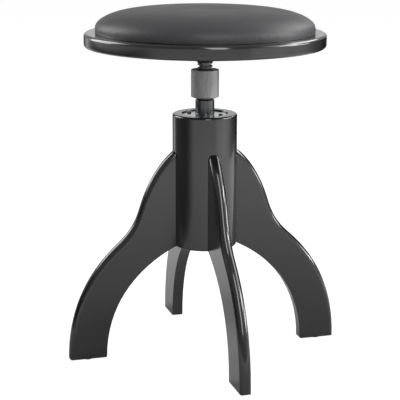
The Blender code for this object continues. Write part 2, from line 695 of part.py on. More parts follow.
def build():
    clear_scene()
    base = make_empty("base", 0.0)
    guide = make_empty("seat_height", GUIDE_BOTTOM, base)
    seat = make_empty("seat_turn", SEAT_UNDERSIDE - GUIDE_BOTTOM, guide)
    post = make_post(base)
    for index, name in enumerate(LEG_NAMES):
        make_leg(name, FIRST_LEG_ANGLE + math.tau * index / len(LEG_NAMES), base, post)
    make_nut(base, post)
    make_lock(base)
    spindle = make_spindle(seat)
    make_spindle_end(guide, seat)
    board = make_board(seat)
    make_hub(seat, spindle, board)
    make_pad(seat, board)


build()
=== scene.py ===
import math

import bmesh
import bpy
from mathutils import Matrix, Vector


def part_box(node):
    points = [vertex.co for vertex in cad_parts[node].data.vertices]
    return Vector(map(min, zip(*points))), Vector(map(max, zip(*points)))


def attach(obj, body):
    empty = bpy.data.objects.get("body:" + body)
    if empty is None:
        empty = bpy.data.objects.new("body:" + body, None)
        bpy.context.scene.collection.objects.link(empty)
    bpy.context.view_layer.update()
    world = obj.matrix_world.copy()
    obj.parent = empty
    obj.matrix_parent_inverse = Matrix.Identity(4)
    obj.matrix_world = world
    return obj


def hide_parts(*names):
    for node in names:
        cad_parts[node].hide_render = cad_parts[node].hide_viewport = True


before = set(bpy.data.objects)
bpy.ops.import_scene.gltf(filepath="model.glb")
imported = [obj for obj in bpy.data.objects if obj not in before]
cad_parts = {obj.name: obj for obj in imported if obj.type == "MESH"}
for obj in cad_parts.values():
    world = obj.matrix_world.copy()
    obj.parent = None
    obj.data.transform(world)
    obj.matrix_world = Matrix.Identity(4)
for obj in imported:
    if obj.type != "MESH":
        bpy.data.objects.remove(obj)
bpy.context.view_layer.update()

mm = 0.001
hair = 0.01 * mm                # points this close count as one place
overrun = 1 * mm                # how far a cutter stands out of what it cuts
fullTurn = 2 * math.pi
print("frame loaded with", len(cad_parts), "nodes")


# Small helpers for working in object and edit mode

def objectMode():
    if bpy.context.object and bpy.context.object.mode != "OBJECT":
        bpy.ops.object.mode_set(mode="OBJECT")
    bpy.ops.object.select_all(action="DESELECT")


def choose(piece):
    objectMode()
    piece.select_set(True)
    bpy.context.view_layer.objects.active = piece


def editMode(piece, kind="FACE"):
    choose(piece)
    bpy.ops.object.mode_set(mode="EDIT")
    bpy.ops.mesh.select_mode(type=kind)


def pick(piece, parts, test):
    # selects the verts, edges or faces that pass a test
    bpy.ops.mesh.select_all(action="DESELECT")
    shape = bmesh.from_edit_mesh(piece.data)
    for part in getattr(shape, parts):
        if test(part):
            part.select_set(True)
    shape.select_flush_mode()
    bmesh.update_edit_mesh(piece.data)


def pickCap(piece, facing):
    # the outermost flat cap of an upright piece: facing is 1 for its top and -1 for its foot
    shape = bmesh.from_edit_mesh(piece.data)
    level = max(v.co.z * facing for v in shape.verts)
    pick(piece, "faces", lambda face: all(abs(v.co.z * facing - level) < hair for v in face.verts))


def pickRing(piece, radius, height):
    # the edges of one circle round the axis
    slack = 0.05 * mm

    def onRing(edge):
        return all(abs(math.hypot(v.co.x, v.co.y) - radius) < slack and abs(v.co.z - height) < slack
                   for v in edge.verts)

    editMode(piece, "EDGE")
    pick(piece, "edges", onRing)


def roundRing(piece, radius, height, width, segments=3):
    pickRing(piece, radius, height)
    bpy.ops.mesh.bevel(offset=width, segments=segments, affect="EDGES")


def stepCap(inward, rise):
    # narrows the picked cap and then pulls it out or pushes it in
    if inward:
        bpy.ops.mesh.inset(thickness=inward)
    if rise:
        bpy.ops.mesh.extrude_region_move(TRANSFORM_OT_translate={"value": (0, 0, rise)})


def addRod(name, radius, bottom, top, sides=128, x=0.0, y=0.0):
    # a cylinder standing at its place, with its place in its mesh
    objectMode()
    bpy.ops.mesh.primitive_cylinder_add(vertices=sides, radius=radius, depth=top - bottom,
                                        location=(x, y, (bottom + top) / 2))
    rod = bpy.context.object
    rod.name = name
    bpy.ops.object.transform_apply(location=True, rotation=True, scale=True)
    return rod


def applyModifier(piece, kind, **settings):
    choose(piece)
    modifier = piece.modifiers.new(kind.lower(), kind)
    for setting, value in settings.items():
        setattr(modifier, setting, value)
    bpy.ops.object.modifier_apply(modifier=modifier.name)


def cutAway(piece, cutter):
    applyModifier(piece, "BOOLEAN", operation="DIFFERENCE", solver="EXACT", object=cutter)
    bpy.data.objects.remove(cutter)


def centreOf(low, high):
    # where a piece stands, from its lowest and highest corners
    return (low.x + high.x) / 2, (low.y + high.y) / 2


def smoothOff(piece, sharpest=35):
    # flat faces stay flat and roundings stay soft
    choose(piece)
    bpy.ops.object.shade_smooth_by_angle(angle=math.radians(sharpest))
    applyModifier(piece, "WEIGHTED_NORMAL", keep_sharp=True)


def place(piece, body, slotName, material, *nodes):
    # gives a finished piece its material, its body and the CAD nodes that it stands for
    objectMode()
    piece.data.materials.clear()
    piece.data.materials.append(material)
    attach(piece, body)
    if nodes:
        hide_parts(*nodes)


# Materials

def linear(hexColour):
    # an sRGB hex colour as the linear colour that a shader takes
    colour = []
    for start in (1, 3, 5):
        value = int(hexColour[start:start + 2], 16) / 255
        colour.append(value / 12.92 if value <= 0.04045 else ((value + 0.055) / 1.055) ** 2.4)
    return (*colour, 1.0)


def addNode(tree, kind, inputs=None, **settings):
    # adds one node; an input is given a value, or linked when it is given another node's output
    node = tree.nodes.new("ShaderNode" + kind)
    for setting, value in settings.items():
        setattr(node, setting, value)
    for name, value in (inputs or {}).items():
        if isinstance(value, bpy.types.NodeSocket):
            tree.links.new(value, node.inputs[name])
        else:
            node.inputs[name].default_value = value
    return node


def newMaterial(name, **values):
    # a Principled material with the numbers that are the same all over it
    material = bpy.data.materials.new(name)
    material.use_nodes = True
    tree = material.node_tree
    for socket, value in values.items():
        tree.nodes["Principled BSDF"].inputs[socket.replace("_", " ")].default_value = value
    return material, tree, addNode(tree, "TexCoord").outputs["Object"]


def linkFinish(material, colour, roughness, relief):
    # the last step of a material: what varies over its surface goes to its shader
    tree = material.node_tree
    shader = tree.nodes["Principled BSDF"]
    tree.links.new(colour.outputs["Result"], shader.inputs["Base Color"])
    tree.links.new(roughness.outputs["Result"], shader.inputs["Roughness"])
    tree.links.new(relief.outputs["Normal"], shader.inputs["Normal"])
    return material


def perMetre(size):
    # the texture scale that gives features of a size
    return 1 / size


lacquerLook = {
    "colour": "#121213",
    "thinColour": "#1a1a1b",
    "clouds": 45 * mm,          # slow change in the depth of the black
    "orangePeel": 2.6 * mm,     # ripple of a sprayed coat
    "poreWidth": 0.9 * mm,      # beech pores are 0.1 mm wide, and drawn coarser so that they show
    "poreLength": 16 * mm,
}


def blackLacquer(name, grain):
    # beech sprayed with black polyurethane lacquer: nearly black, with a clear satin skin that
    # ripples slightly and sinks a little over the pores, which run along the grain
    material, tree, coords = newMaterial(name, IOR=1.5, Coat_Weight=0.7, Coat_Roughness=0.09)
    along = [perMetre(lacquerLook["poreWidth"])] * 3
    along[grain] = perMetre(lacquerLook["poreLength"])
    grainCoords = addNode(tree, "Mapping", {"Vector": coords, "Scale": along}).outputs[0]
    clouds = addNode(tree, "TexNoise", {"Vector": coords, "Scale": perMetre(lacquerLook["clouds"]),
                                        "Detail": 3})
    peel = addNode(tree, "TexNoise", {"Vector": coords, "Scale": perMetre(lacquerLook["orangePeel"]),
                                      "Detail": 1})
    pores = addNode(tree, "TexNoise", {"Vector": grainCoords, "Scale": 1.0, "Detail": 4, "Roughness": 0.6})
    colour = addNode(tree, "Mix", {"Factor": clouds.outputs["Fac"], "A": linear(lacquerLook["colour"]),
                                   "B": linear(lacquerLook["thinColour"])}, data_type="RGBA")
    satin = addNode(tree, "MapRange", {"Value": pores.outputs["Fac"], "From Min": 0.3, "From Max": 0.7,
                                       "To Min": 0.15, "To Max": 0.20})
    sunk = addNode(tree, "Bump", {"Height": pores.outputs["Fac"], "Strength": 0.05, "Distance": 0.03 * mm})
    ripple = addNode(tree, "Bump", {"Height": peel.outputs["Fac"], "Strength": 0.04, "Distance": 0.05 * mm,
                                    "Normal": sunk.outputs["Normal"]})
    return linkFinish(material, colour, satin, ripple)


leatheretteLook = {
    "colour": "#444446",
    # painted shade: a darker colour in the grain's grooves, standing in for the shade in the hollows
    "grooveShadeColour": "#38383a",
    "cells": 1.7 * mm,          # embossed grain is about 1 mm, and drawn coarser so that it shows
    "pores": 0.5 * mm,
    "clouds": 60 * mm,
}


def blackLeatherette():
    # PVC on a knit back, embossed like calf: soft grey-black, a low sheen broken up by pebbles
    material, tree, coords = newMaterial("blackLeatherette", IOR=1.41, Sheen_Weight=0.01,
                                         Sheen_Roughness=0.4)
    cells = addNode(tree, "TexVoronoi", {"Vector": coords, "Scale": perMetre(leatheretteLook["cells"])},
                    feature="DISTANCE_TO_EDGE")
    pores = addNode(tree, "TexNoise", {"Vector": coords, "Scale": perMetre(leatheretteLook["pores"]),
                                       "Detail": 2})
    clouds = addNode(tree, "TexNoise", {"Vector": coords, "Scale": perMetre(leatheretteLook["clouds"]),
                                        "Detail": 2})
    grooves = addNode(tree, "MapRange", {"Value": cells.outputs["Distance"], "From Min": 0.0,
                                         "From Max": 0.12})
    # the grooves between the pebbles are painted darker: painted shade in the grain's hollows
    colour = addNode(tree, "Mix", {"Factor": grooves.outputs["Result"],
                                   "B": linear(leatheretteLook["colour"]),
                                   "A": linear(leatheretteLook["grooveShadeColour"])}, data_type="RGBA")
    dull = addNode(tree, "MapRange", {"Value": clouds.outputs["Fac"], "From Min": 0.3, "From Max": 0.7,
                                      "To Min": 0.40, "To Max": 0.48})
    pebbles = addNode(tree, "Bump", {"Height": grooves.outputs["Result"], "Strength": 0.15,
                                     "Distance": 0.06 * mm})
    fine = addNode(tree, "Bump", {"Height": pores.outputs["Fac"], "Strength": 0.1, "Distance": 0.03 * mm,
                                  "Normal": pebbles.outputs["Normal"]})
    return linkFinish(material, colour, dull, fine)


steelLook = {
    "oxide": ("#484a4b", "#696a6c"),
    "zinc": ("#e4e5e7", "#f4f4f6"),
    "grey": ("#878788", "#aeaeaf"),
    "oilPatch": 5 * mm,
    "turnedLine": 0.6 * mm,     # lathe feed is 0.1 to 0.2 mm, and drawn coarser so that it shows
    "turnedLength": 100 / 3 * mm,
    "spangle": 1.4 * mm,
    "drawnLine": 1.1 * mm,      # lines from drawing the bar, coarser than real ones
    "drawnLength": 22 * mm,
}


def blackOxideSteel():
    # turned steel blackened in hot salts: dark and a little oily, patchy where the oil has dried
    material, tree, coords = newMaterial("blackOxideSteel", Metallic=1.0)
    patches = addNode(tree, "TexNoise", {"Vector": coords, "Scale": perMetre(steelLook["oilPatch"]),
                                         "Detail": 5})
    across = perMetre(steelLook["turnedLength"])
    lines = addNode(tree, "Mapping", {"Vector": coords,
                                      "Scale": (across, across, perMetre(steelLook["turnedLine"]))})
    turning = addNode(tree, "TexNoise", {"Vector": lines.outputs[0], "Scale": 1.0, "Detail": 2})
    colour = addNode(tree, "Mix", {"Factor": patches.outputs["Fac"], "A": linear(steelLook["oxide"][0]),
                                   "B": linear(steelLook["oxide"][1])}, data_type="RGBA")
    oily = addNode(tree, "MapRange", {"Value": patches.outputs["Fac"], "From Min": 0.3, "From Max": 0.7,
                                      "To Min": 0.24, "To Max": 0.42})
    marks = addNode(tree, "Bump", {"Height": turning.outputs["Fac"], "Strength": 0.25,
                                   "Distance": 0.03 * mm})
    return linkFinish(material, colour, oily, marks)


def zincPlatedSteel():
    # bright zinc on pressed steel: pale and slightly cloudy, with a fine satin spangle
    material, tree, coords = newMaterial("zincPlatedSteel", Metallic=1.0)
    spangle = addNode(tree, "TexNoise", {"Vector": coords, "Scale": perMetre(steelLook["spangle"]),
                                         "Detail": 4})
    colour = addNode(tree, "Mix", {"Factor": spangle.outputs["Fac"], "A": linear(steelLook["zinc"][0]),
                                   "B": linear(steelLook["zinc"][1])}, data_type="RGBA")
    satin = addNode(tree, "MapRange", {"Value": spangle.outputs["Fac"], "From Min": 0.3, "From Max": 0.7,
                                       "To Min": 0.18, "To Max": 0.30})
    grit = addNode(tree, "Bump", {"Height": spangle.outputs["Fac"], "Strength": 0.1, "Distance": 0.02 * mm})
    return linkFinish(material, colour, satin, grit)


def greySteel():
    # drawn bar with a matt grey phosphate finish: soft upright streaks, no clear reflection
    material, tree, coords = newMaterial("greySteel", Metallic=1.0)
    across = perMetre(steelLook["drawnLine"])
    drawn = addNode(tree, "Mapping", {"Vector": coords,
                                      "Scale": (across, across, perMetre(steelLook["drawnLength"]))})
    streaks = addNode(tree, "TexNoise", {"Vector": drawn.outputs[0], "Scale": 1.0, "Detail": 4,
                                         "Roughness": 0.55})
    grains = addNode(tree, "TexNoise", {"Vector": coords, "Scale": perMetre(steelLook["spangle"]),
                                        "Detail": 3})
    mottle = addNode(tree, "Mix", {"Factor": 0.35, "A": streaks.outputs["Fac"], "B": grains.outputs["Fac"]},
                     data_type="FLOAT")
    spread = addNode(tree, "MapRange", {"Value": mottle.outputs["Result"], "From Min": 0.35,
                                        "From Max": 0.65})
    colour = addNode(tree, "Mix", {"Factor": spread.outputs["Result"], "A": linear(steelLook["grey"][0]),
                                   "B": linear(steelLook["grey"][1])}, data_type="RGBA")
    matt = addNode(tree, "MapRange", {"Value": spread.outputs["Result"], "To Min": 0.58, "To Max": 0.70})
    lines = addNode(tree, "Bump", {"Height": mottle.outputs["Result"], "Strength": 0.3,
                                   "Distance": 0.03 * mm})
    return linkFinish(material, colour, matt, lines)


plainLook = {
    "nylon": ("#141415", "#1c1c1d"),
    "beech": ("#b98f63", "#d3ae80"),
    "stain": ("#0d0d0d", "#161616"),
    "veneer": ("#a98254", "#d8b98c"),
    "mouldedTexture": 0.8 * mm,
    "beechRay": 1.2 * mm,
    "beechLength": 50 / 3 * mm,
    "ply": 1.4 * mm,            # thickness of one veneer
    "plyLength": 40 * mm,
}


def mouldedNylon():
    # black polyamide from a mould: even, with a fine matt texture
    material, tree, coords = newMaterial("mouldedNylon", IOR=1.53)
    grit = addNode(tree, "TexNoise", {"Vector": coords, "Scale": perMetre(plainLook["mouldedTexture"]),
                                      "Detail": 3})
    colour = addNode(tree, "Mix", {"Factor": grit.outputs["Fac"], "A": linear(plainLook["nylon"][0]),
                                   "B": linear(plainLook["nylon"][1])}, data_type="RGBA")
    matt = addNode(tree, "MapRange", {"Value": grit.outputs["Fac"], "To Min": 0.45, "To Max": 0.60})
    skin = addNode(tree, "Bump", {"Height": grit.outputs["Fac"], "Strength": 0.15, "Distance": 0.03 * mm})
    return linkFinish(material, colour, matt, skin)


def bareWood(name, colours, across, upright):
    # unfinished wood: pale, matt and streaked along its grain, or banded where it is laid in plies
    material, tree, coords = newMaterial(name, IOR=1.45)
    scale = (perMetre(across), perMetre(across), perMetre(upright))
    bands = addNode(tree, "Mapping", {"Vector": coords, "Scale": scale})
    figure = addNode(tree, "TexNoise", {"Vector": bands.outputs[0], "Scale": 1.0, "Detail": 4})
    colour = addNode(tree, "Mix", {"Factor": figure.outputs["Fac"], "A": linear(colours[0]),
                                   "B": linear(colours[1])}, data_type="RGBA")
    matt = addNode(tree, "MapRange", {"Value": figure.outputs["Fac"], "To Min": 0.60, "To Max": 0.75})
    fibres = addNode(tree, "Bump", {"Height": figure.outputs["Fac"], "Strength": 0.2,
                                    "Distance": 0.05 * mm})
    return linkFinish(material, colour, matt, fibres)


alongX = 0
alongZ = 2
uprightLacquer = blackLacquer("uprightLacquer", alongZ)
stainedWood = bareWood("stainedWood", plainLook["stain"], plainLook["beechRay"], plainLook["beechLength"])
boardLacquer = blackLacquer("boardLacquer", alongX)
leatherette = blackLeatherette()
oxide = blackOxideSteel()
zinc = zincPlatedSteel()
grey = greySteel()
nylon = mouldedNylon()
beech = bareWood("turnedBeech", plainLook["beech"], plainLook["beechRay"], plainLook["beechLength"])
plywood = bareWood("birchPlywood", plainLook["veneer"], plainLook["plyLength"], plainLook["ply"])
print("materials made")


# Legs: a curve is drawn round the leg's side, filled, pulled to its thickness and rounded

leg = {
    "names": ("right", "back", "left", "front"),
    "firstTurn": 16.5,          # degrees anticlockwise of +X
    "reach": 208.8 * mm,
    "thickness": 17 * mm,
    "bottom": 1.5 * mm,
    "top": 308 * mm,
    "letIn": 6 * mm,            # depth of the seat in the post
    "footLength": 56.3 * mm,
    "footCorner": 3 * mm,
    "outerEdge": 8.2 * mm,      # nearly a half round
    "innerEdge": 1 * mm,
    "edgeSegments": 9,
    "curveSteps": 18,
    "slotFit": 0.15 * mm,       # air round the leg in its slot
}
# Knots as (before, knot, after), in shares of the way out from the post and of the leg's height
outsideShares = (
    (None, (0.0, 1.0), (0.132, 0.948)),
    ((0.246, 0.854), (0.316, 0.737), (0.352, 0.677)),
    ((0.389, 0.623), (0.532, 0.555), (0.919, 0.375)),
    ((1.0, 0.157), (1.0, 0.0), None),
)
# The same for the arch, in shares of its own run and height
archShares = (
    (None, (1.0, 0.0), (1.0, 0.555)),
    ((0.440, 0.861), (0.0, 1.0), None),
)
postLow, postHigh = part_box("post")
postRadius = postHigh.x


def drawLeg():
    run = leg["reach"] - postRadius
    archRun = run - leg["footLength"]
    base = leg["bottom"] + leg["footCorner"]
    inside = postRadius - leg["letIn"]

    def scaled(knot, width, height):
        return [share and (postRadius + share[0] * width, base + share[1] * height) for share in knot]

    knots = [scaled(knot, run, leg["top"] - base) for knot in outsideShares]
    knots[-1][1] = (leg["reach"], leg["bottom"])
    arch = [scaled(knot, archRun, postLow.z - base) for knot in archShares]
    arch[0][1] = (postRadius + archRun, leg["bottom"])
    knots += arch
    knots.append([None, (inside, postLow.z), None])
    knots.append([None, (inside, leg["top"]), None])

    objectMode()
    bpy.ops.curve.primitive_bezier_curve_add(location=(0, 0, 0))
    drawn = bpy.context.object
    spline = drawn.data.splines[0]
    spline.bezier_points.add(len(knots) - len(spline.bezier_points))
    spline.use_cyclic_u = True
    drawn.data.resolution_u = leg["curveSteps"]
    for point, (before, knot, after) in zip(spline.bezier_points, knots):
        point.handle_left_type = point.handle_right_type = "FREE"
        point.co = (knot[0], 0, knot[1])
        point.handle_left = ((before or knot)[0], 0, (before or knot)[1])
        point.handle_right = ((after or knot)[0], 0, (after or knot)[1])
    bpy.ops.object.convert(target="MESH")
    return bpy.context.object


def modelLeg():
    wood = drawLeg()
    editMode(wood, "EDGE")
    bpy.ops.mesh.select_all(action="SELECT")
    bpy.ops.transform.edge_bevelweight(value=leg["innerEdge"] / leg["outerEdge"])
    lastOutside = leg["curveSteps"] * (len(outsideShares) - 1)
    pick(wood, "edges", lambda edge: all(v.index <= lastOutside for v in edge.verts)
         or all(abs(v.co.z - leg["top"]) < hair for v in edge.verts))
    bpy.ops.transform.edge_bevelweight(value=1)
    bpy.ops.mesh.select_all(action="SELECT")
    bpy.ops.mesh.remove_doubles(threshold=hair)
    bpy.ops.mesh.edge_face_add()
    bpy.ops.mesh.dissolve_limited(angle_limit=math.radians(0.2))     # straight edges need no points
    bpy.ops.mesh.select_all(action="SELECT")
    bpy.ops.transform.translate(value=(0, -leg["thickness"] / 2, 0))
    bpy.ops.mesh.extrude_region_move(TRANSFORM_OT_translate={"value": (0, leg["thickness"], 0)})
    pick(wood, "edges", lambda edge: abs(edge.verts[0].co.y - edge.verts[1].co.y) > mm
         and edge.verts[0].co.z < leg["bottom"] + hair)
    bpy.ops.transform.edge_bevelweight(value=leg["footCorner"] / leg["outerEdge"])
    bpy.ops.mesh.select_all(action="SELECT")
    bpy.ops.mesh.normals_make_consistent(inside=False)
    applyModifier(wood, "BEVEL", width=leg["outerEdge"], segments=leg["edgeSegments"],
                  limit_method="WEIGHT", use_clamp_overlap=False)
    return wood


legPattern = modelLeg()
slotCutters = []
for number, name in enumerate(leg["names"]):
    choose(legPattern)
    bpy.ops.object.duplicate()
    wood = bpy.context.object
    wood.name = "legWood_" + name
    wood.rotation_euler.z = math.radians(leg["firstTurn"] + 90 * number)
    bpy.ops.object.transform_apply(location=True, rotation=True, scale=True)
    choose(wood)
    bpy.ops.object.duplicate()
    cutter = bpy.context.object
    editMode(cutter)
    bpy.ops.mesh.select_all(action="SELECT")
    bpy.ops.transform.shrink_fatten(value=leg["slotFit"])
    slotCutters.append(cutter)
    smoothOff(wood)
    place(wood, "base", "black_lacquered_wood", uprightLacquer, "leg_" + name)
bpy.data.objects.remove(legPattern)
print("legs made")


# Post: a rod with a recess for the flange, a bore for the spindle and slots for the legs

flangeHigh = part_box("nut_flange")[1]
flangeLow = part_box("nut_flange")[0]
post = {
    "rim": 3 * mm,
    "rimSegments": 7,
    "recessSlack": 1.25 * mm,
    "recessEdge": 0.3 * mm,
    "underFlange": 0.3 * mm,
    "bore": 17 * mm,
    "boreFloor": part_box("end_screw")[0].z - 5.5 * mm,      # room for the end screw at the lowest seat
    "sides": 192,
}


def modelPost():
    wood = addRod("postWood", postRadius, postLow.z, postHigh.z, post["sides"])
    recess = flangeHigh.x + post["recessSlack"]
    recessFloor = flangeLow.z - post["underFlange"]
    editMode(wood)
    pickCap(wood, 1)
    stepCap(postRadius - recess, recessFloor - postHigh.z)
    stepCap(recess - post["bore"], post["boreFloor"] - recessFloor)
    roundRing(wood, postRadius, postHigh.z, post["rim"], post["rimSegments"])
    roundRing(wood, postRadius, postLow.z, post["rim"], post["rimSegments"])
    roundRing(wood, recess, postHigh.z, post["recessEdge"])
    for cutter in slotCutters:
        cutAway(wood, cutter)
    smoothOff(wood)
    place(wood, "base", "black_lacquered_wood", uprightLacquer, "post")
    wood.data.materials.append(stainedWood)
    editMode(wood)
    stainTop = postHigh.z - (post["recessEdge"] + hair)
    pick(wood, "faces", lambda face: all(math.hypot(v.co.x, v.co.y) < recess + hair and v.co.z < stainTop
                                         for v in face.verts))
    wood.active_material_index = 1
    bpy.ops.object.material_slot_assign()
    objectMode()


modelPost()
print("post made")


# Fasteners: one screw of each kind is modelled at the origin, head up, and then copied

screw = {
    "sides": 32,
    "crossLength": 0.62,        # shares of the head's width
    "crossWidth": 0.17,
    "crossFootShare": 0.5,      # the cross's size at its foot, of that at its top
    "crossDepth": 1.6 * mm,
    "crownShare": 0.6,          # how much of a pan head's height is rounded
    "crownSegments": 5,
    "numbers": (1, 2, 3, 4),
    "firstTurn": 25,            # degrees, so that the crosses stand at odds
    "nextTurn": 37,
}
# Each kind's head radius, shank radius, length and head height, and whether its head is flush
screwSizes = {
    "flushScrew": (4.5 * mm, 2.2 * mm, 17.8 * mm, 2.4 * mm, True),
    "smallPanScrew": (3.2 * mm, 1.75 * mm, 28 * mm, 2.4 * mm, False),
    "panScrew": (5 * mm, 2 * mm, 27 * mm, 2.8 * mm, False),
}


def screwNodes(stem):
    return [f"{stem}_{number}" for number in screw["numbers"]]


def cutCross(head, radius):
    # a cross recess, cut by two crossed bars that narrow downwards
    size = (2 * radius * screw["crossLength"], 2 * radius * screw["crossWidth"], 2 * screw["crossDepth"])
    for turn in (0, math.pi / 2):
        objectMode()
        bpy.ops.mesh.primitive_cube_add(size=1, location=(0, 0, 0), rotation=(0, 0, turn), scale=size)
        bar = bpy.context.object
        bpy.ops.object.transform_apply(location=True, rotation=True, scale=True)
        editMode(bar)
        pickCap(bar, -1)
        bpy.ops.transform.resize(value=(screw["crossFootShare"], screw["crossFootShare"], 1),
                                 center_override=(0, 0, -screw["crossDepth"]))
        cutAway(head, bar)


def modelScrew(name):
    # the top of the head is at height 0
    headRadius, shankRadius, length, headHeight, flush = screwSizes[name]
    head = addRod(name, headRadius, -headHeight, 0, screw["sides"])
    if flush:
        editMode(head)
        pickCap(head, -1)
        share = shankRadius / headRadius
        bpy.ops.transform.resize(value=(share, share, 1))
        stepCap(0, headHeight - length)
    else:
        roundRing(head, headRadius, 0, headHeight * screw["crownShare"], screw["crownSegments"])
        editMode(head)
        pickCap(head, -1)
        stepCap(headRadius - shankRadius, -length)
    cutCross(head, headRadius)
    return head


def copyScrews(pattern, nodes, body, material, slotName, facing=1):
    # a copy on each CAD screw, turned over where it is driven from below
    for number, node in enumerate(nodes):
        low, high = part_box(node)
        choose(pattern)
        bpy.ops.object.duplicate()
        copy = bpy.context.object
        copy.name = node.replace("screw", "head")
        level = high.z if facing > 0 else low.z
        turn = math.radians(screw["firstTurn"] + screw["nextTurn"] * number)
        copy.rotation_euler = (0 if facing > 0 else math.pi, 0, turn)
        copy.location = (*centreOf(low, high), level)
        bpy.ops.object.transform_apply(location=True, rotation=True, scale=True)
        smoothOff(copy, 40)
        place(copy, body, slotName, material, node)
    bpy.data.objects.remove(pattern)


seatScrews = screwNodes("seat_flange_screw")
copyScrews(modelScrew("flushScrew"), seatScrews, "seat", oxide, "black_oxide_steel", -1)
copyScrews(modelScrew("smallPanScrew"), screwNodes("flange_screw"), "base", oxide, "black_oxide_steel")
copyScrews(modelScrew("panScrew"), screwNodes("pad_screw"), "seat", zinc, "zinc_plated_steel", -1)
print("screws made")


# Steel parts on the axis

countersink = {
    "radius": 4.8 * mm,
    "depth": 2.6 * mm,
    "hole": 2.5 * mm,
    "through": 3 * mm,          # how far the hole runs on below the cone
    "sides": 48,
}


def cutCountersinks(plate, nodes, level, facing):
    # a cone and a hole for each screw, from the face at a level
    for node in nodes:
        low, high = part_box(node)
        objectMode()
        bpy.ops.mesh.primitive_cone_add(
            vertices=countersink["sides"], radius1=countersink["radius"], radius2=countersink["hole"],
            depth=countersink["depth"], rotation=(math.pi if facing > 0 else 0, 0, 0),
            location=(*centreOf(low, high), level - facing * countersink["depth"] / 2))
        cone = bpy.context.object
        bpy.ops.object.transform_apply(location=True, rotation=True, scale=True)
        editMode(cone)
        pickCap(cone, facing)
        stepCap(0, facing * overrun)
        pickCap(cone, -facing)
        stepCap(0, -facing * countersink["through"])
        cutAway(plate, cone)


def boreThrough(piece, radii, bore):
    # opens a bore between the caps; radii are those of the lower and the upper cap
    capCorners = 8              # a cap has more corners than this, and a side face has fewer
    slack = 0.2 * mm

    def isCap(face, test):
        return len(face.verts) > capCorners and all(test(v.co) for v in face.verts)

    editMode(piece)
    heights = [v.co.z for v in bmesh.from_edit_mesh(piece.data).verts]
    for level, radius in zip((min(heights), max(heights)), radii):
        pick(piece, "faces", lambda face: isCap(face, lambda co: abs(co.z - level) < hair))
        bpy.ops.mesh.inset(thickness=radius - bore)
    pick(piece, "faces", lambda face: isCap(face, lambda co: abs(math.hypot(co.x, co.y) - bore) < slack))
    bpy.ops.mesh.bridge_edge_loops()


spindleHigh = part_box("spindle")[1]
thread = {
    "crest": spindleHigh.x,
    "depth": 2.5 * mm,
    "pitch": 5 * mm,
    "crestShare": 0.34,         # of the pitch
    "flankShare": 0.16,
    "bottom": 215 * mm,
    "shoulder": 1.5 * mm,
    "topJournal": 8 * mm,
    "lowJournal": 7 * mm,
    "steps": 40,
    "underHub": 0.3 * mm,
    "overlap": 0.1 * mm,        # of the shoulder and the thread, which are joined
    "air": 0.3 * mm,            # round the thread in the bores that run on it
}
running = thread["crest"] + thread["air"]


nut = {
    "plateBore": 13.3 * mm,
    "plateEdge": 0.5 * mm,
    "screwHole": 1.9 * mm,
    "spigot": 13 * mm,
    "overPlate": 0.3 * mm,
    "bossEdge": 0.8 * mm,
    "boreEdge": 0.6 * mm,
}


def modelNutFlange():
    plate = addRod("nutPlate", flangeHigh.x, flangeLow.z, flangeHigh.z)
    boreThrough(plate, (flangeHigh.x, flangeHigh.x), nut["plateBore"])
    roundRing(plate, flangeHigh.x, flangeHigh.z, nut["plateEdge"])
    for number in screw["numbers"]:
        headLow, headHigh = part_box(f"flange_screw_{number}")
        hole = addRod("hole", nut["screwHole"], flangeLow.z - overrun, flangeHigh.z + overrun,
                      screw["sides"], *centreOf(headLow, headHigh))
        cutAway(plate, hole)
    smoothOff(plate)
    place(plate, "base", "zinc_plated_steel", zinc, "nut_flange")


def modelNutBush():
    low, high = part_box("nut_bush")
    boss = high.x
    shoulder = flangeHigh.z + nut["overPlate"]
    bush = addRod("bossSteel", boss, shoulder, high.z)
    editMode(bush)
    pickCap(bush, -1)
    stepCap(boss - nut["spigot"], low.z - shoulder)
    boreThrough(bush, (nut["spigot"], boss), running)
    roundRing(bush, boss, high.z, nut["bossEdge"])
    roundRing(bush, running, high.z, nut["boreEdge"], segments=2)
    smoothOff(bush)
    place(bush, "base", "black_oxide_steel", oxide, "nut_bush")


lock = {
    "coneHeight": 2.2 * mm,
    "coneRadius": 15 * mm,
    "topEdge": 1.2 * mm,
    "footEdge": 0.5 * mm,
    "boreEdge": 0.8 * mm,
    "pocket": 13.8 * mm,
    "pocketDepth": 2.4 * mm,
    "washerEdge": 0.3 * mm,
}


def modelCollar():
    low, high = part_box("lock_collar")
    radius = high.x
    collar = addRod("collarSteel", radius, low.z + lock["coneHeight"], high.z)
    editMode(collar)
    pickCap(collar, -1)
    stepCap(0, -lock["coneHeight"])
    share = lock["coneRadius"] / radius
    bpy.ops.transform.resize(value=(share, share, 1))
    boreThrough(collar, (lock["coneRadius"], radius), running)
    roundRing(collar, radius, high.z, lock["topEdge"], segments=2)
    roundRing(collar, radius, low.z + lock["coneHeight"], lock["footEdge"])
    roundRing(collar, running, high.z, lock["boreEdge"], segments=2)
    pocket = addRod("pocket", lock["pocket"], low.z - overrun, low.z + lock["pocketDepth"])
    cutAway(collar, pocket)
    smoothOff(collar)
    place(collar, "lock_collar", "satin_grey_steel", grey, "lock_collar")


def modelWasher():
    low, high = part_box("lock_washer")
    washer = addRod("collarWasher", high.x, low.z, high.z)
    boreThrough(washer, (high.x, high.x), running)
    roundRing(washer, high.x, low.z, lock["washerEdge"], segments=2)
    smoothOff(washer)
    place(washer, "lock_ring", "black_nylon", nylon, "lock_washer")


hub = {
    "radius": 16 * mm,
    "chamfer": 3.4 * mm,
    "footRadius": 12 * mm,
    "weld": 1.6 * mm,
    "plate": 4 * mm,
    "bore": 8.3 * mm,
    "edge": 0.6 * mm,
}


